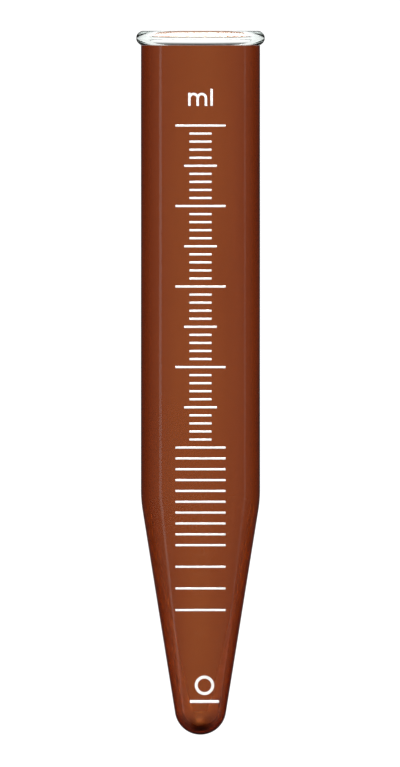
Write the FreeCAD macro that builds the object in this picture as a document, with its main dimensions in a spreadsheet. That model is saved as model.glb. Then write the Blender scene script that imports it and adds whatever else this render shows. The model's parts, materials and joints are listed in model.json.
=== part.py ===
import FreeCAD, Part
import Sketcher

import math
import os

# A graduated conical centrifuge tube of amber glass with a clear, beaded rim.
#
# Lengths are in millimetres. +Z runs up the tube's axis, and the origin lies on that axis in the
# plane of the bead's underside. The printed scale faces -Y.

# Driving dimensions: name, value, meaning. Depths are measured down from the bead's underside.
SIZES = [
    ("body_diameter", 17.0, "outside of the straight barrel"),
    ("wall_thickness", 1.05, "glass of the barrel and the shoulder"),
    ("barrel_length", 63.5, "bead's underside to the start of the shoulder"),
    ("shoulder_radius", 18.0, "outer arc that eases the barrel into the cone"),
    ("tube_length", 98.45, "bead's underside to the lowest point of the tip"),
    ("tip_radius", 3.67, "outside of the rounded tip"),
    ("bore_tip_radius", 2.62, "inside of the rounded tip"),
    ("tip_thickness", 1.2, "glass under the lowest point of the bore"),
    ("bead_overhang", 0.685, "how far the rim bead stands out past the barrel"),
    ("bead_height", 2.06, "rim bead, underside to top"),
    ("enamel_thickness", 0.06, "how far the printed marks stand proud"),
    ("line_thickness", 0.33, "graduation line, measured along the tube"),
    ("long_line_width", 7.2, "line of a whole division, or of the lower scale"),
    ("middle_line_width", 4.7, "line of a half division"),
    ("short_line_width", 3.2, "line of a tenth of a division"),
    ("first_line_depth", 11.47, "middle of the top line"),
    ("last_line_height", 17.79, "middle of the lowest line, above the tip's lowest point"),
    ("close_pitch", 1.548, "between lines of the lower scale, close part"),
    ("wide_pitch", 3.09, "between lines of the lower scale, wide part"),
    ("letter_rise", 2.8, "middle of the top line to the line that the letters stand on"),
    ("letter_stroke", 0.37, "pen width of the letters"),
    ("letter_gap", 0.44, "between the two letters"),
    ("m_width", 2.73, "letter m"),
    ("m_height", 1.9, "letter m"),
    ("l_height", 2.44, "letter l"),
    ("marks_aside", 0.57, "middle of the maker's ring and bar, to the right of the axis"),
    ("ring_height", 7.05, "middle of the maker's ring, above the tip's lowest point"),
    ("ring_diameter", 2.8, "outside of the maker's ring"),
    ("ring_stroke", 0.45, "line of the maker's ring"),
    ("bar_height", 4.73, "middle of the maker's bar, above the tip's lowest point"),
    ("bar_width", 4.2, "maker's bar, across the tube"),
    ("bar_thickness", 0.45, "maker's bar, along the tube"),
]

# How the scale is divided.
WHOLE_DIVISIONS = 4
TENTHS = 10
CLOSE_LINES = 9
WIDE_LINES = 3

# What the margins and the lower scale leave for the upper scale, from its first line to its last.
UPPER_SCALE_LENGTH = (
    "Sizes.tube_length - Sizes.first_line_depth - Sizes.last_line_height"
    " - %d * Sizes.close_pitch - %d * Sizes.wide_pitch" % (CLOSE_LINES, WIDE_LINES)
)

# How a sketch names its origin, its axes, and the ends and centre of an edge.
ORIGIN = -1
LEVEL_AXIS = -1
UPRIGHT_AXIS = -2
START, END, CENTRE = 1, 2, 3


# ---- The document and small helpers ----

def make_document():
    """A new document with the spreadsheet that drives it."""
    document = FreeCAD.newDocument("CentrifugeTube")
    sheet = document.addObject("Spreadsheet::Sheet", "Sizes")
    for row, (name, value, meaning) in enumerate(SIZES, start=1):
        sheet.set("A%d" % row, meaning)
        sheet.set("B%d" % row, str(value))
        sheet.setAlias("B%d" % row, name)
    document.recompute()
    return document


def add(document, kind, name, bindings=None):
    """A new object whose properties are tied to the sheet by the given expressions."""
    item = document.addObject(kind, name)
    item.Label = name
    for path, expression in (bindings or {}).items():
        item.setExpression(path, expression)
    return item


def number(document, expression):
    """What an expression comes to now."""
    return float(document.Sizes.evalExpression(expression))


def point(across, up):
    """A point of a sketch in the XZ plane."""
    return FreeCAD.Vector(across, up, 0)


def arc(centre, radius, first, last):
    """An anticlockwise arc between two angles in radians."""
    circle = Part.Circle(centre, FreeCAD.Vector(0, 0, 1), radius)
    return Part.ArcOfCircle(circle, first, last)


def turned_body(document, name, edges, rules, dimensions):
    """A body revolved about the tube's axis from one closed sketch."""
    body = add(document, "PartDesign::Body", name)
    sketch = body.newObject("Sketcher::SketchObject", name + "_section")
    planes = [plane for plane in body.Origin.OriginFeatures if plane.Role == "XZ_Plane"]
    sketch.AttachmentSupport = [(planes[0], "")]
    sketch.MapMode = "FlatFace"
    sketch.addGeometry(edges, False)
    for rule in rules:
        sketch.addConstraint(Sketcher.Constraint(*rule))
    for label, rule, expression in dimensions:
        value = number(document, expression)
        index = sketch.addConstraint(Sketcher.Constraint(*rule, value))
        sketch.renameConstraint(index, label)
        sketch.setExpression("Constraints." + label, expression)
    revolution = body.newObject("PartDesign::Revolution", name + "_turned")
    revolution.Profile = sketch
    revolution.ReferenceAxis = (sketch, ["V_Axis"])
    revolution.Angle = 360.0
    return body


# ---- Glass ----

def tapered_body(document, name, radius, shoulder, tip, depth):
    """A solid of revolution: barrel, shoulder arc, cone and rounded tip, with its flat top at the origin.

    The four sizes are expressions. The cone is the line that touches both arcs.
    """
    barrel = "Sizes.barrel_length"
    barrel_radius = number(document, radius)
    shoulder_radius = number(document, shoulder)
    tip_radius = number(document, tip)
    lowest = -number(document, depth)
    shoulder_centre = point(barrel_radius - shoulder_radius, -number(document, barrel))
    tip_centre = point(0, lowest + tip_radius)
    between = tip_centre - shoulder_centre
    lean = math.asin((shoulder_radius - tip_radius) / between.Length) - math.atan2(between.x, -between.y)
    outward = point(math.cos(lean), -math.sin(lean))

    top, wall, turn, cone, end, axis = range(6)
    edges = [
        Part.LineSegment(point(0, 0), point(barrel_radius, 0)),
        Part.LineSegment(point(barrel_radius, 0), point(barrel_radius, shoulder_centre.y)),
        arc(shoulder_centre, shoulder_radius, -lean, 0),
        Part.LineSegment(shoulder_centre + outward * shoulder_radius, tip_centre + outward * tip_radius),
        arc(tip_centre, tip_radius, -math.pi / 2, -lean),
        Part.LineSegment(point(0, lowest), point(0, 0)),
    ]
    rules = [
        ("Coincident", top, START, ORIGIN, START),
        ("Coincident", top, END, wall, START),
        ("Tangent", wall, END, turn, END),
        ("Tangent", turn, START, cone, START),
        ("Tangent", cone, END, end, END),
        ("Coincident", end, START, axis, START),
        ("Coincident", axis, END, top, START),
        ("Horizontal", top),
        ("Vertical", wall),
        ("Vertical", axis),
        ("PointOnObject", end, CENTRE, UPRIGHT_AXIS),
    ]
    dimensions = [
        ("radius", ("DistanceX", top, START, top, END), radius),
        ("barrel", ("DistanceY", wall, END, wall, START), barrel),
        ("shoulder", ("Radius", turn), shoulder),
        ("tip", ("Radius", end), tip),
        ("depth", ("DistanceY", axis, START, axis, END), depth),
    ]
    return turned_body(document, name, edges, rules, dimensions)


def glass_form(document):
    """The tube's outside as a full solid. The tube and the printed film both start from it."""
    return tapered_body(
        document, "outside",
        radius="Sizes.body_diameter / 2",
        shoulder="Sizes.shoulder_radius",
        tip="Sizes.tip_radius",
        depth="Sizes.tube_length",
    )


def glass_tube(document, outside):
    """The closed-bottomed tube: the outside less its bore, with heavier glass in the tip."""
    bore = tapered_body(
        document, "bore",
        radius="Sizes.body_diameter / 2 - Sizes.wall_thickness",
        shoulder="Sizes.shoulder_radius - Sizes.wall_thickness",
        tip="Sizes.bore_tip_radius",
        depth="Sizes.tube_length - Sizes.tip_thickness",
    )
    tube = add(document, "Part::Cut", "glass_tube")
    tube.Base = outside
    tube.Tool = bore
    return tube


def rim_bead(document):
    """The rolled ring of clear glass on the tube's mouth.

    It is rounded outside and in, and a short neck eases the barrel's edge into the roll.
    """
    bore = "Sizes.body_diameter / 2 - Sizes.wall_thickness"
    wall = "Sizes.wall_thickness"
    roll = "Sizes.bead_height / 2"
    centre_past_barrel = "Sizes.bead_overhang - Sizes.bead_height / 2"
    bore_radius = number(document, bore)
    barrel_radius = bore_radius + number(document, wall)
    roll_radius = number(document, roll)
    roll_centre = point(barrel_radius + number(document, centre_past_barrel), roll_radius)
    lip_radius = roll_centre.x - bore_radius
    lip_centre = point(roll_centre.x, 2 * roll_radius - lip_radius)
    neck_angle = 2 * math.atan2(-roll_radius, barrel_radius - roll_centre.x) + math.pi / 2
    neck_end = roll_centre + point(math.cos(neck_angle), math.sin(neck_angle)) * roll_radius

    seat, neck, outside, lip, inside = range(5)
    edges = [
        Part.LineSegment(point(bore_radius, 0), point(barrel_radius, 0)),
        Part.LineSegment(point(barrel_radius, 0), neck_end),
        arc(roll_centre, roll_radius, neck_angle, math.pi / 2),
        arc(lip_centre, lip_radius, math.pi / 2, math.pi),
        Part.LineSegment(point(bore_radius, lip_centre.y), point(bore_radius, 0)),
    ]
    rules = [
        ("PointOnObject", seat, START, LEVEL_AXIS),
        ("Horizontal", seat),
        ("Coincident", seat, END, neck, START),
        ("Tangent", neck, END, outside, START),
        ("Tangent", outside, END, lip, START),
        ("Vertical", outside, CENTRE, lip, CENTRE),
        ("Tangent", lip, END, inside, START),
        ("Vertical", inside),
        ("Coincident", inside, END, seat, START),
    ]
    dimensions = [
        ("bore", ("DistanceX", ORIGIN, START, seat, START), bore),
        ("wall", ("DistanceX", seat, START, seat, END), wall),
        ("roll", ("Radius", outside), roll),
        ("rise", ("DistanceY", ORIGIN, START, outside, CENTRE), roll),
        ("overhang", ("DistanceX", seat, END, outside, CENTRE), centre_past_barrel),
    ]
    return turned_body(document, "rim_bead", edges, rules, dimensions)


# ---- Printed enamel ----

def enamel_film(document, outside):
    """The thin layer on the outside of the glass that every printed mark is a patch of."""
    grown = tapered_body(
        document, "grown",
        radius="Sizes.body_diameter / 2 + Sizes.enamel_thickness",
        shoulder="Sizes.shoulder_radius + Sizes.enamel_thickness",
        tip="Sizes.tip_radius + Sizes.enamel_thickness",
        depth="Sizes.tube_length + Sizes.enamel_thickness",
    )
    film = add(document, "Part::Cut", "film")
    film.Base = grown
    film.Tool = outside
    return film


def print_mark(document, name, film, stencil):
    """The patch of enamel that a stencil lets through on the front of the tube."""
    mark = add(document, "Part::Common", name)
    mark.Base = film
    mark.Tool = stencil
    return mark


def slot(document, name, left, bottom, width, height):
    """A rectangular opening of a stencil, as a block in front of the axis."""
    return add(document, "Part::Box", name, {
        "Length": width,
        "Width": "Sizes.body_diameter",
        "Height": height,
        "Placement.Base.x": left,
        "Placement.Base.y": "-Sizes.body_diameter",
        "Placement.Base.z": bottom,
    })


def centred_slot(document, name, depth, width, height):
    """A rectangular opening with its middle on the tube's axis, at a depth below the bead."""
    left = "-(%s) / 2" % width
    bottom = "-(%s) - (%s) / 2" % (depth, height)
    return slot(document, name, left, bottom, width, height)


def curved_slot(document, name, centre_across, centre_up, radius, stroke, sweep):
    """An opening that follows a circle, anticlockwise from the right, as a block in front of the axis."""
    discs = []
    for end, size in (("rim", radius), ("hole", "%s - %s" % (radius, stroke))):
        disc = add(document, "Part::Cylinder", name + "_" + end, {
            "Radius": size,
            "Height": "Sizes.body_diameter",
            "Placement.Base.x": centre_across,
            "Placement.Base.z": centre_up,
        })
        disc.Angle = sweep
        disc.Placement.Rotation = FreeCAD.Rotation(FreeCAD.Vector(1, 0, 0), 90)
        discs.append(disc)
    band = add(document, "Part::Cut", name)
    band.Base, band.Tool = discs
    return band


def graduation(document, name, film, depth, width):
    """One printed line of the scale."""
    stencil = centred_slot(document, name + "_stencil", depth, width, "Sizes.line_thickness")
    return print_mark(document, name, film, stencil)


def upper_scale(document, film):
    """Whole, half and tenth divisions, at an even pitch that fills what the lower scale leaves."""
    steps = WHOLE_DIVISIONS * TENTHS
    kinds = {"long_line": 0, "middle_line": 0, "short_line": 0}
    lines = []
    for index in range(steps + 1):
        kind = "short_line"
        if index % TENTHS == 0:
            kind = "long_line"
        elif index % TENTHS == TENTHS // 2:
            kind = "middle_line"
        kinds[kind] += 1
        name = "%s_%02d" % (kind, kinds[kind])
        depth = "Sizes.first_line_depth + %d / %d * (%s)" % (index, steps, UPPER_SCALE_LENGTH)
        lines.append(graduation(document, name, film, depth, "Sizes.%s_width" % kind))
    return lines


def lower_scale(document, film):
    """Long lines at a wide pitch up from the lowest one, and then at a close pitch to the upper scale."""
    lines = []
    for steps_up in range(WIDE_LINES + CLOSE_LINES):
        wide_steps = min(steps_up, WIDE_LINES)
        close_steps = steps_up - wide_steps
        height = "Sizes.last_line_height + %d * Sizes.wide_pitch + %d * Sizes.close_pitch"
        depth = "Sizes.tube_length - (%s)" % height % (wide_steps, close_steps)
        name = "lower_line_%02d" % (WIDE_LINES + CLOSE_LINES - steps_up)
        lines.append(graduation(document, name, film, depth, "Sizes.long_line_width"))
    return lines


def unit_letters(document, film):
    """The unit above the scale, m and l, centred together on the tube's axis."""
    stroke = "Sizes.letter_stroke"
    baseline = "Sizes.letter_rise - Sizes.first_line_depth"
    m_left = "-(Sizes.m_width + Sizes.letter_gap + Sizes.letter_stroke) / 2"
    stem_pitch = "(Sizes.m_width - Sizes.letter_stroke) / 2"
    arch_radius = "(Sizes.m_width + Sizes.letter_stroke) / 4"
    spring = "Sizes.m_height - " + arch_radius

    openings = []
    for index, height in enumerate(("Sizes.m_height", spring, spring)):
        left = "%s + %d * %s" % (m_left, index, stem_pitch)
        openings.append(slot(document, "m_stem_%d" % (index + 1), left, baseline, stroke, height))
    for index in range(2):
        centre = "%s + %s + %d * %s" % (m_left, arch_radius, index, stem_pitch)
        height = "%s + %s" % (baseline, spring)
        name = "m_arch_%d" % (index + 1)
        openings.append(curved_slot(document, name, centre, height, arch_radius, stroke, 180.0))
    m_stencil = add(document, "Part::MultiFuse", "m_stencil")
    m_stencil.Shapes = openings

    l_left = m_left + " + Sizes.m_width + Sizes.letter_gap"
    l_stencil = slot(document, "l_stencil", l_left, baseline, stroke, "Sizes.l_height")
    return [
        print_mark(document, "letter_m", film, m_stencil),
        print_mark(document, "letter_l", film, l_stencil),
    ]


def maker_marks(document, film):
    """A plain ring over a plain bar, near the tip and a little to the right of the axis."""
    ring = curved_slot(
        document, "ring_stencil", "Sizes.marks_aside", "Sizes.ring_height - Sizes.tube_length",
        "Sizes.ring_diameter / 2", "Sizes.ring_stroke", 360.0,
    )
    bar_left = "Sizes.marks_aside - Sizes.bar_width / 2"
    bar_bottom = "Sizes.bar_height - Sizes.tube_length - Sizes.bar_thickness / 2"
    bar = slot(
        document, "bar_stencil", bar_left, bar_bottom, "Sizes.bar_width", "Sizes.bar_thickness",
    )
    return [
        print_mark(document, "maker_ring", film, ring),
        print_mark(document, "maker_bar", film, bar),
    ]


# ---- Building, checking and writing ----

def check(document, parts):
    """Stop if any object failed to build, or a sub-part isn't one sound solid."""
    for item in document.Objects:
        if "Invalid" in item.State or "Error" in item.State:
            raise RuntimeError("%s failed: %s" % (item.Label, item.State))
    for part in parts:
        if part.Shape.isNull() or not part.Shape.isValid():
            raise RuntimeError("%s has no sound shape" % part.Label)
        if len(part.Shape.Solids) != 1:
            raise RuntimeError("%s has %d solids" % (part.Label, len(part.Shape.Solids)))


def write(parts):
    """One STEP file for each sub-part."""
    os.makedirs("parts", exist_ok=True)
    for part in parts:
        part.Shape.exportStep("parts/%s.step" % part.Label)
        print("%-16s %10.3f mm3" % (part.Label, part.Shape.Volume))


def main():
    document = make_document()
    outside = glass_form(document)
    film = enamel_film(document, outside)
    parts = [glass_tube(document, outside), rim_bead(document)]
    parts += upper_scale(document, film)
    parts += lower_scale(document, film)
    parts += unit_letters(document, film)
    parts += maker_marks(document, film)
    document.recompute()
    check(document, parts)
    write(parts)


main()
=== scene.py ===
import json
import math

import bmesh
import bpy
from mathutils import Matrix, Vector, noise

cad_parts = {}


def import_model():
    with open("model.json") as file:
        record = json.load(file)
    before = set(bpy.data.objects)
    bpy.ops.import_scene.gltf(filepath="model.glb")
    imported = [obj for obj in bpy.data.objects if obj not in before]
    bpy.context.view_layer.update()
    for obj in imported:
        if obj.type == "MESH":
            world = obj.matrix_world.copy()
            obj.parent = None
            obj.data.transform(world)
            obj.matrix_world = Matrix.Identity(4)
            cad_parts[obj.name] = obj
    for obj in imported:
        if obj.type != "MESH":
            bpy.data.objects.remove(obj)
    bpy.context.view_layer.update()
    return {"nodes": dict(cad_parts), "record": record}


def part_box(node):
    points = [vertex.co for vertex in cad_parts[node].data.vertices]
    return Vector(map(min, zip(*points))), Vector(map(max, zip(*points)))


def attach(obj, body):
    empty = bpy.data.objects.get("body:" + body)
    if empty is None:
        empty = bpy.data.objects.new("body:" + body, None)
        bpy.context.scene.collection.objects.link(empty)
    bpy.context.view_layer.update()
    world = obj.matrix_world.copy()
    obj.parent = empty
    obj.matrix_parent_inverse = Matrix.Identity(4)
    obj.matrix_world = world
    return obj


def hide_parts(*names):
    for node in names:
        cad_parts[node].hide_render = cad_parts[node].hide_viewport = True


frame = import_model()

# A graduated conical centrifuge tube of amber glass with a clear beaded rim and a white enamel scale.
# Everything is in metres. +Z runs up the tube's axis, z = 0 is the bead's underside, and the scale
# faces -Y.

MM = 0.001
NODES = frame["nodes"]

# ---- Sizes ----

MOUNTS = {mount["name"]: mount["dims"] for mount in frame["record"]["mounts"]}
BARREL_RADIUS = MOUNTS["barrel"]["r_mm"] * MM
BARREL_LENGTH = MOUNTS["barrel"]["length_mm"] * MM
BORE_RADIUS = MOUNTS["mouth"]["r_mm"] * MM
WALL = BARREL_RADIUS - BORE_RADIUS
TUBE_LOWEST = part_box("glass_tube")[0].z
BEAD_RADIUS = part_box("rim_bead")[1].x
BEAD_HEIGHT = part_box("rim_bead")[1].z

SHOULDER_RADIUS = 18.0 * MM
TIP_RADIUS = 3.67 * MM
BORE_TIP_RADIUS = 2.62 * MM
TIP_THICKNESS = 1.2 * MM

# The bead and the tube are one piece of glass on the real thing, so they only just part here.
JOINT_GAP = 0.008 * MM

# The enamel stands this far out of the glass, reaches this far into it, and keeps this far inside the
# edge of its CAD solid, which leaves room for the edge to stray.
ENAMEL_THICKNESS = 0.06 * MM
ENAMEL_BITE = 0.01 * MM
PRINT_INSET = 0.015 * MM

# ---- How far it strays from true ----

# A drawn wall wanders in and out over about this length of tube. Its noise is read on a circle of
# this radius, and each surface has its own depth and its own seed.
WANDER_LENGTH = 18 * MM
WANDER_AROUND = 1.3
OUTSIDE_WANDER = (0.012 * MM, 3.0)
BORE_WANDER = (0.045 * MM, 11.0)
BEAD_WANDER = (0.008 * MM, 23.0)

# A printed edge strays by up to this much, in waves of this length. In the noise, a line's edges lie
# this far to either side, and the lines lie this many times as far apart as on the tube.
EDGE_STRAY = 0.012 * MM
EDGE_WAVE = 0.22 * MM
EDGE_ACROSS = 7 * MM
EDGE_APART = 3

# As shares of half a line's height: how far its corners are cut back, and how far from its ends its
# top starts to fall.
CORNER_CUT = 0.2
END_FALL = 0.5

# The higher this is, the flatter the print stays before it rounds off at its edge.
PRINT_FLATNESS = 5

# ---- Fineness of the meshes ----

AROUND = 160
BARREL_RINGS = 34
SHOULDER_RINGS = 8
CONE_RINGS = 16
TIP_RINGS = 22
ROLL_RINGS = 20
LIP_RINGS = 12
LINE_ROWS_LEAST = 24
LINE_ROW = 0.06 * MM
LINE_COLUMNS = 10
CREASE_DEGREES = 50.0

# The letters and the ring are softened by a remesh of their flat plan, which is made this thick. The
# voxel is in millimetres, as the plan is.
PLAN_THICKNESS = 0.3 * MM
PLAN_VOXEL = 0.02
PLAN_SMOOTHING = 0.5

# ---- Materials ----

# Glass absorbs density x (1 - colour) of the light per metre, for red, green and blue each.
AMBER_COLOUR = (0.693, 0.376, 0.0)
AMBER_DENSITY = 2235.0
CLEAR_COLOUR = (0.6, 0.95, 0.8)
CLEAR_DENSITY = 30.0

GLASS_IOR = 1.473
AMBER_TINTS = ((0.97, 0.93, 0.88), (1.0, 0.99, 0.97))
CLEAR_TINTS = ((0.97, 0.985, 0.98), (1.0, 1.0, 1.0))
ENAMEL_WHITES = ((0.79, 0.78, 0.755), (0.9, 0.895, 0.875))
ENAMEL_ROUGHNESS = (0.3, 0.5)
FLOOR_COLOUR = (0.8, 0.8, 0.8)

# Most of a noise's values lie between these.
NOISE_ENDS = (0.3, 0.7)

# ---- Studio ----

VIEW_HEIGHT = 109.53 * MM
VIEW_MIDDLE = -48.3 * MM
VIEW_ASIDE = -0.07 * MM
VIEW_DISTANCE = 1.0
VIEW_CLIP = (0.01, 100.0)
FLOOR_RADIUS = 0.45
FLOOR_SIDES = 96
FLOOR_GAP = 0.2 * MM

# Brightness of the world, and the ends between which one brightness turns into the next. A ray's
# rise is -1 straight down and 1 straight up. Its depth is -1 towards the camera's side of the tube
# and 1 away from it.
WALL_LIGHT = 1.1
FLOOR_LIGHT = 1.4
FLOOR_RISE = (-0.16, -0.05)
CEILING_LIGHT = 0.08
CEILING_RISE = (0.3, 0.5)
FRONT_MIRRORED = 0.33
BACK_MIRRORED = 0.03
ROOM_DEPTH = (-0.2, 0.6)
FLOOR_MIRRORED = 0.03
FLOOR_MIRRORED_RISE = (-0.95, -0.6)
CEILING_MIRRORED = 26.0
CEILING_MIRRORED_RISE = (0.25, 0.4)
CEILING_MIRRORED_DEPTH = (0.0, 0.5)


# ---- Section of the glass ----

def arc_points(centre, radius, first, last, count):
    """Points of an arc in the (radius, height) plane, from one angle to another in degrees."""
    angles = [math.radians(first + (last - first) * step / count) for step in range(count + 1)]
    return [(centre[0] + radius * math.cos(a), centre[1] + radius * math.sin(a)) for a in angles]


def line_points(start, end, count):
    """Points of a straight line in the same plane, both ends among them."""
    shares = [step / count for step in range(count + 1)]
    return [(start[0] + (end[0] - start[0]) * s, start[1] + (end[1] - start[1]) * s) for s in shares]


class Taper:
    """A barrel that a shoulder arc eases into a cone with a round tip."""

    def __init__(self, barrel, shoulder, tip, lowest):
        self.barrel = barrel
        self.shoulder = shoulder
        self.tip = tip
        self.lowest = lowest
        self.shoulder_centre = (barrel - shoulder, -BARREL_LENGTH)
        self.tip_centre = (0.0, lowest + tip)
        across = -self.shoulder_centre[0]
        down = self.shoulder_centre[1] - self.tip_centre[1]
        self.lean = math.asin((shoulder - tip) / math.hypot(across, down)) - math.atan2(across, down)
        self.cone_top = self.shoulder_centre[1] - shoulder * math.sin(self.lean)
        self.cone_end = self.tip_centre[1] - tip * math.sin(self.lean)

    def radius(self, height):
        """Radius of the surface at a height on it."""
        if height >= self.shoulder_centre[1]:
            return self.barrel
        if height >= self.cone_top:
            drop = height - self.shoulder_centre[1]
            return self.shoulder_centre[0] + math.sqrt(self.shoulder ** 2 - drop ** 2)
        if height >= self.cone_end:
            end = self.tip * math.cos(self.lean)
            return end + (height - self.cone_end) * math.tan(self.lean)
        drop = height - self.tip_centre[1]
        return math.sqrt(max(self.tip ** 2 - drop ** 2, 0.0))

    def outline(self, top):
        """Points of the section from the top of the barrel to the last one before the axis."""
        lean = math.degrees(self.lean)
        shoulder = arc_points(self.shoulder_centre, self.shoulder, 0, -lean, SHOULDER_RINGS)
        tip = arc_points(self.tip_centre, self.tip, -lean, -90, TIP_RINGS)
        barrel = line_points((self.barrel, top), shoulder[0], BARREL_RINGS)
        cone = line_points(shoulder[-1], tip[0], CONE_RINGS)
        return barrel[:-1] + shoulder + cone[1:-1] + tip[:-1]


OUTSIDE = Taper(BARREL_RADIUS, SHOULDER_RADIUS, TIP_RADIUS, TUBE_LOWEST)
BORE = Taper(BORE_RADIUS, SHOULDER_RADIUS - WALL, BORE_TIP_RADIUS, TUBE_LOWEST + TIP_THICKNESS)


# ---- Meshes ----

def finish_piece(mesh_data, name, material, slot, *nodes):
    """Give a new mesh its object, material and body, and hide the CAD nodes that it stands for. The
    slot is not used.
    """
    piece = bpy.data.objects.new(name, mesh_data)
    bpy.context.scene.collection.objects.link(piece)
    mesh_data.materials.append(material)
    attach(piece, "root")
    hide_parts(*nodes)


def mesh_from(bm, name):
    """A smooth mesh with its normals outward and its creases kept sharp."""
    bmesh.ops.recalc_face_normals(bm, faces=bm.faces)
    for face in bm.faces:
        face.smooth = True
    for edge in bm.edges:
        edge.smooth = edge.calc_face_angle(0.0) < math.radians(CREASE_DEGREES)
    mesh_data = bpy.data.meshes.new(name)
    bm.to_mesh(mesh_data)
    bm.free()
    return mesh_data


def spun_ring(bm, radius, height, shift):
    """One ring of vertices about the axis. shift moves each one outward by a length."""
    ring = []
    for step in range(AROUND):
        angle = 2 * math.pi * step / AROUND
        reach = radius + shift(angle, height)
        ring.append(bm.verts.new((reach * math.cos(angle), reach * math.sin(angle), height)))
    return ring


def join_rings(bm, upper, lower):
    """Quads between two rings."""
    for step in range(AROUND):
        after = (step + 1) % AROUND
        bm.faces.new((upper[step], upper[after], lower[after], lower[step]))


# ---- Glass ----

def drawn_glass(depth, seed):
    """How far a drawn tube's wall wanders, as a function of angle and height."""
    def shift(angle, height):
        x = WANDER_AROUND * math.cos(angle)
        y = WANDER_AROUND * math.sin(angle)
        return depth * noise.noise(Vector((x, y, height / WANDER_LENGTH + seed)))
    return shift


def closed_surface(bm, taper, shift):
    """One surface of the tube, from just under the bead to a pole on the axis. Gives its top ring."""
    rings = [spun_ring(bm, radius, height, shift) for radius, height in taper.outline(-JOINT_GAP)]
    for upper, lower in zip(rings, rings[1:]):
        join_rings(bm, upper, lower)
    pole = bm.verts.new((0, 0, taper.lowest))
    last = rings[-1]
    for step in range(AROUND):
        bm.faces.new((last[step], last[(step + 1) % AROUND], pole))
    return rings[0]


def glass_tube(material):
    """The closed-bottomed tube, with the slight unevenness of drawn and lampworked glass."""
    bm = bmesh.new()
    outer_edge = closed_surface(bm, OUTSIDE, drawn_glass(*OUTSIDE_WANDER))
    inner_edge = closed_surface(bm, BORE, drawn_glass(*BORE_WANDER))
    join_rings(bm, outer_edge, inner_edge)
    data = mesh_from(bm, "amber_tube")
    finish_piece(data, "amber_tube", material, "amber_glass", "glass_tube")


def bead_section():
    """Points round the bead's section: the roll, the lip over the mouth, and the straight bore."""
    roll = BEAD_HEIGHT / 2
    roll_centre = (BEAD_RADIUS - roll, roll)
    lip = roll_centre[0] - BORE_RADIUS
    lip_centre = (roll_centre[0], BEAD_HEIGHT - lip)
    neck = 2 * math.degrees(math.atan2(-roll, BARREL_RADIUS - roll_centre[0])) + 90
    section = arc_points(roll_centre, roll, neck, 90, ROLL_RINGS)
    section += arc_points(lip_centre, lip, 90, 180, LIP_RINGS)[1:]
    section += [(BORE_RADIUS, lip_centre[1] / 2), (BORE_RADIUS, 0.0), (BARREL_RADIUS, 0.0)]
    return section


def rim_bead(material):
    """The rolled ring of clear glass, as a closed section spun about the axis."""
    bm = bmesh.new()
    shift = drawn_glass(*BEAD_WANDER)
    rings = [spun_ring(bm, radius, height, shift) for radius, height in bead_section()]
    for upper, lower in zip(rings, rings[1:] + rings[:1]):
        join_rings(bm, upper, lower)
    data = mesh_from(bm, "clear_bead")
    finish_piece(data, "clear_bead", material, "clear_glass", "rim_bead")


# ---- Enamel ----

def on_glass(across, height, lift):
    """A point above the front of the tube, seen from -Y at a place across it and a height."""
    radius = OUTSIDE.radius(height) + lift
    return Vector((across, -math.sqrt(max(radius ** 2 - across ** 2, 0.0)), height))


def dome(share):
    """Height of the print from its middle, 0, to its edge, 1: flat, then rounding off."""
    return math.sqrt(max(1.0 - abs(share) ** PRINT_FLATNESS, 0.0))


def eased(step, steps):
    """A place from -1 to 1. The steps crowd towards both ends."""
    return math.sin(math.pi / 2 * (2 * step / steps - 1))


def line_point(u, v, middle, half_width, half_height):
    """A point of a line's plan. u runs along the line and v across it, from -1 to 1 each."""
    cut = CORNER_CUT * half_height * (1 - math.sqrt(max(1 - v * v, 0.0)))
    along = u * (half_width - cut)
    point = middle + Vector((along, 0, v * half_height))
    place = Vector((along, EDGE_ACROSS * v, EDGE_APART * middle.z))
    point.z += EDGE_STRAY * noise.noise(place / EDGE_WAVE) * abs(v) ** 3
    return point


def slab_faces(bm, top, base):
    """The faces of a slab from the rows of vertices of its two sides."""
    rows = len(top) - 1
    columns = len(top[0]) - 1
    for i in range(rows):
        for j in range(columns):
            bm.faces.new((top[i][j], top[i + 1][j], top[i + 1][j + 1], top[i][j + 1]))
            bm.faces.new((base[i][j], base[i][j + 1], base[i + 1][j + 1], base[i + 1][j]))
    for i in range(rows):
        for j in (0, columns):
            bm.faces.new((top[i][j], top[i + 1][j], base[i + 1][j], base[i][j]))
    for j in range(columns):
        for i in (0, rows):
            bm.faces.new((top[i][j], top[i][j + 1], base[i][j + 1], base[i][j]))


def printed_line(name, material, node):
    """A line of enamel over a node's front: domed, with cut corners and slightly uneven edges."""
    low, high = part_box(node)
    middle = Vector(((low.x + high.x) / 2, 0, (low.z + high.z) / 2))
    half_width = (high.x - low.x) / 2 - PRINT_INSET
    half_height = (high.z - low.z) / 2 - PRINT_INSET
    rows = max(LINE_ROWS_LEAST, round(half_width / LINE_ROW))
    bm = bmesh.new()
    top, base = [], []
    for i in range(rows + 1):
        u = eased(i, rows)
        to_end = min(1.0, (1 - abs(u)) * half_width / (END_FALL * half_height))
        top_row, base_row = [], []
        for j in range(LINE_COLUMNS + 1):
            v = eased(j, LINE_COLUMNS)
            spot = line_point(u, v, middle, half_width, half_height)
            lift = ENAMEL_THICKNESS * dome(v) * dome(1 - to_end)
            top_row.append(bm.verts.new(on_glass(spot.x, spot.z, lift)))
            base_row.append(bm.verts.new(on_glass(spot.x, spot.z, -ENAMEL_BITE)))
        top.append(top_row)
        base.append(base_row)
    slab_faces(bm, top, base)
    finish_piece(mesh_from(bm, name), name, material, "white_enamel", node)


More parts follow.
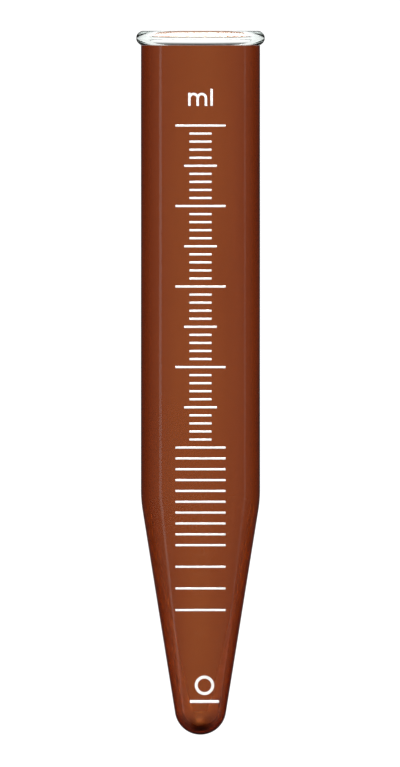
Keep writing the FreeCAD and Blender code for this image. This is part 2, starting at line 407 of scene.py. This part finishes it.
def flat_plan(node):
    """A copy of a node's print, laid flat and thickened, in millimetres."""
    plan = NODES[node].data.copy()
    for vertex in plan.vertices:
        x, y, z = vertex.co
        outer = math.hypot(x, y) - OUTSIDE.radius(z) > ENAMEL_THICKNESS / 2
        vertex.co = (x / MM, PLAN_THICKNESS / MM if outer else 0.0, z / MM)
    return plan


def softened(plan):
    """A plan with its corners rounded."""
    holder = bpy.data.objects.new("flat_print", plan)
    bpy.context.scene.collection.objects.link(holder)
    remesh = holder.modifiers.new("soften", "REMESH")
    remesh.mode = "VOXEL"
    remesh.voxel_size = PLAN_VOXEL
    evaluated = holder.evaluated_get(bpy.context.evaluated_depsgraph_get())
    soft = bpy.data.meshes.new_from_object(evaluated)
    bpy.data.objects.remove(holder)

    bm = bmesh.new()
    bm.from_mesh(soft)
    bpy.data.meshes.remove(soft)
    bmesh.ops.smooth_vert(bm, verts=bm.verts, factor=PLAN_SMOOTHING,
                          use_axis_x=True, use_axis_y=True, use_axis_z=True)
    bm.normal_update()
    return bm


def printed_shape(name, material, node):
    """Enamel over a node of any outline: its softened plan, laid back on the glass."""
    bm = softened(flat_plan(node))
    for vertex in bm.verts:
        inset = Vector((vertex.normal.x, 0, vertex.normal.z)) * PRINT_INSET / MM
        x, lift, z = (vertex.co - inset) * MM
        share = min(max(lift / PLAN_THICKNESS, 0.0), 1.0)
        height = share * (ENAMEL_THICKNESS + ENAMEL_BITE) - ENAMEL_BITE
        vertex.co = on_glass(x, z, height)
    finish_piece(mesh_from(bm, name), name, material, "white_enamel", node)


def print_marks(material):
    """Every line of the scale, the unit's letters and the maker's marks."""
    for node in sorted(NODES):
        if "_line_" in node or node == "maker_bar":
            printed_line("enamel_" + node, material, node)
    for node in ("letter_m", "letter_l", "maker_ring"):
        printed_shape("enamel_" + node, material, node)


# ---- Materials ----

def new_material(name):
    """A material and its Principled shader."""
    material = bpy.data.materials.new(name)
    material.use_nodes = True
    return material, material.node_tree.nodes["Principled BSDF"]


def noise_field(tree, scale, stretch, detail):
    """Noise in the object's own space. stretch scales the space along Z."""
    place = tree.nodes.new("ShaderNodeTexCoord")
    mapping = tree.nodes.new("ShaderNodeMapping")
    mapping.inputs["Scale"].default_value = (1.0, 1.0, stretch)
    field = tree.nodes.new("ShaderNodeTexNoise")
    field.inputs["Scale"].default_value = scale
    field.inputs["Detail"].default_value = detail
    tree.links.new(place.outputs["Object"], mapping.inputs["Vector"])
    tree.links.new(mapping.outputs["Vector"], field.inputs["Vector"])
    return field.outputs["Fac"]


def ramp(tree, value, colours):
    """A colour between two, across the middle of a noise's range."""
    node = tree.nodes.new("ShaderNodeValToRGB")
    for element, position, colour in zip(node.color_ramp.elements, NOISE_ENDS, colours):
        element.position = position
        element.color = (*colour, 1)
    tree.links.new(value, node.inputs["Fac"])
    return node.outputs["Color"]


def bump(tree, shader, value, strength, depth):
    """Drive a shader's normal from a height."""
    relief = tree.nodes.new("ShaderNodeBump")
    relief.inputs["Strength"].default_value = strength
    relief.inputs["Distance"].default_value = depth
    tree.links.new(value, relief.inputs["Height"])
    tree.links.new(relief.outputs["Normal"], shader.inputs["Normal"])


def glass(name, absorbed, density, tints):
    """Polished drawn glass. Its depth of colour is in the volume, so thick glass is darker."""
    material, shader = new_material(name)
    tree = material.node_tree
    shader.inputs["Roughness"].default_value = 0.0
    shader.inputs["IOR"].default_value = GLASS_IOR
    shader.inputs["Transmission Weight"].default_value = 1.0
    tint = noise_field(tree, scale=260.0, stretch=0.15, detail=2.0)
    tree.links.new(ramp(tree, tint, tints), shader.inputs["Base Color"])
    draw_lines = noise_field(tree, scale=420.0, stretch=0.04, detail=2.0)
    bump(tree, shader, draw_lines, strength=0.12, depth=0.04 * MM)
    volume = tree.nodes.new("ShaderNodeVolumeAbsorption")
    volume.inputs["Color"].default_value = (*absorbed, 1)
    volume.inputs["Density"].default_value = density
    tree.links.new(volume.outputs["Volume"], tree.nodes["Material Output"].inputs["Volume"])
    return material


def white_enamel():
    """Fired white enamel: a soft gloss, faint mottling and the fine grain of the print."""
    material, shader = new_material("white_enamel")
    tree = material.node_tree
    mottle = noise_field(tree, scale=1800.0, stretch=1.0, detail=4.0)
    tree.links.new(ramp(tree, mottle, ENAMEL_WHITES), shader.inputs["Base Color"])
    gloss = tree.nodes.new("ShaderNodeMapRange")
    gloss.inputs["To Min"].default_value = ENAMEL_ROUGHNESS[0]
    gloss.inputs["To Max"].default_value = ENAMEL_ROUGHNESS[1]
    tree.links.new(mottle, gloss.inputs["Value"])
    tree.links.new(gloss.outputs["Result"], shader.inputs["Roughness"])
    grain = noise_field(tree, scale=9000.0, stretch=1.0, detail=3.0)
    bump(tree, shader, grain, strength=0.35, depth=0.01 * MM)
    return material


# ---- Studio ----

def camera():
    """A flat view straight on to the scale, framed like the picture of the tube."""
    data = bpy.data.cameras.new("camera")
    data.type = "ORTHO"
    data.ortho_scale = VIEW_HEIGHT
    data.clip_start, data.clip_end = VIEW_CLIP
    item = bpy.data.objects.new("camera", data)
    bpy.context.scene.collection.objects.link(item)
    item.location = (VIEW_ASIDE, -VIEW_DISTANCE, VIEW_MIDDLE)
    item.rotation_euler = (math.pi / 2, 0, 0)
    bpy.context.scene.camera = item


def softbox(name, azimuth, elevation, distance, width, height, watts):
    """A soft rectangular light that faces the middle of the tube. Azimuth 0 is the camera's side."""
    data = bpy.data.lights.new(name, "AREA")
    data.shape = "RECTANGLE"
    data.size = width
    data.size_y = height
    data.energy = watts
    item = bpy.data.objects.new(name, data)
    bpy.context.scene.collection.objects.link(item)
    a, e = math.radians(azimuth), math.radians(elevation)
    away = Vector((math.sin(a) * math.cos(e), -math.cos(a) * math.cos(e), math.sin(e)))
    item.location = Vector((0, 0, VIEW_MIDDLE)) + away * distance
    item.rotation_euler = away.to_track_quat("Z", "Y").to_euler()


def feed(tree, node, sources):
    """Give a node's inputs their sources, each one another node's output or a plain number."""
    for name, source in sources.items():
        if isinstance(source, bpy.types.NodeSocket):
            tree.links.new(source, node.inputs[name])
        else:
            node.inputs[name].default_value = source


def between(tree, value, ends, start, end):
    """start where the value is below both ends, end where it is above both, and a slope between."""
    node = tree.nodes.new("ShaderNodeMapRange")
    feed(tree, node, {"Value": value, "From Min": ends[0], "From Max": ends[1]})
    feed(tree, node, {"To Min": start, "To Max": end})
    return node.outputs["Result"]


def chosen(tree, share, a, b):
    """a where the share is 0, and b where it is 1."""
    node = tree.nodes.new("ShaderNodeMix")
    feed(tree, node, {"Factor": share, "A": a, "B": b})
    return node.outputs["Result"]


def world():
    """White all round to the camera and as a light, and a room of its own for glossy rays.

    Through itself the glass sees pale walls, a floor as bright as the lit one, and a dim ceiling.
    It mirrors a dim room with a dark floor, and a bright ceiling over the camera's side.
    """
    scene_world = bpy.data.worlds.new("studio")
    bpy.context.scene.world = scene_world
    scene_world.use_nodes = True
    tree = scene_world.node_tree
    place = tree.nodes.new("ShaderNodeTexCoord")
    towards = tree.nodes.new("ShaderNodeSeparateXYZ")
    tree.links.new(place.outputs["Generated"], towards.inputs["Vector"])
    rise = towards.outputs["Z"]
    depth = towards.outputs["Y"]
    path = tree.nodes.new("ShaderNodeLightPath")

    walls = between(tree, rise, FLOOR_RISE, FLOOR_LIGHT, WALL_LIGHT)
    through = between(tree, rise, CEILING_RISE, walls, CEILING_LIGHT)
    walls_mirrored = between(tree, depth, ROOM_DEPTH, FRONT_MIRRORED, BACK_MIRRORED)
    room = between(tree, rise, FLOOR_MIRRORED_RISE, FLOOR_MIRRORED, walls_mirrored)
    ceiling = between(tree, depth, CEILING_MIRRORED_DEPTH, CEILING_MIRRORED, BACK_MIRRORED)
    overhead = between(tree, rise, CEILING_MIRRORED_RISE, 0.0, 1.0)
    mirrored = chosen(tree, overhead, room, ceiling)
    in_glass = chosen(tree, path.outputs["Is Reflection Ray"], through, mirrored)
    light = chosen(tree, path.outputs["Is Glossy Ray"], WALL_LIGHT, in_glass)
    background = tree.nodes["Background"]
    background.inputs["Color"].default_value = (1, 1, 1, 1)
    tree.links.new(light, background.inputs["Strength"])


def floor():
    """A plain pale round floor just under the tube's tip. The glass doesn't mirror it."""
    bm = bmesh.new()
    bmesh.ops.create_circle(bm, cap_ends=True, segments=FLOOR_SIDES, radius=FLOOR_RADIUS)
    data = bpy.data.meshes.new("floor")
    bm.to_mesh(data)
    bm.free()
    item = bpy.data.objects.new("floor", data)
    bpy.context.scene.collection.objects.link(item)
    item.location = (0, 0, TUBE_LOWEST - FLOOR_GAP)
    material, shader = new_material("pale_floor")
    shader.inputs["Base Color"].default_value = (*FLOOR_COLOUR, 1)
    shader.inputs["Roughness"].default_value = 0.9
    shader.inputs["Specular IOR Level"].default_value = 0.1
    data.materials.append(material)
    item.visible_glossy = False


def studio():
    """Camera, floor, walls and soft lights."""
    camera()
    world()
    floor()
    softbox("key", azimuth=-35, elevation=48, distance=0.9, width=0.6, height=0.6, watts=2.0)
    softbox("fill", azimuth=40, elevation=40, distance=1.0, width=0.6, height=0.6, watts=1.0)
    softbox("left_strip", azimuth=-84, elevation=0, distance=0.6, width=0.07, height=0.5, watts=0.09)
    softbox("right_strip", azimuth=96, elevation=0, distance=0.6, width=0.05, height=0.5, watts=0.03)
    settings = bpy.context.scene.view_settings
    settings.view_transform = "Standard"
    settings.look = "None"


studio()
glass_tube(glass("amber_glass", AMBER_COLOUR, AMBER_DENSITY, AMBER_TINTS))
rim_bead(glass("clear_glass", CLEAR_COLOUR, CLEAR_DENSITY, CLEAR_TINTS))
print_marks(white_enamel())
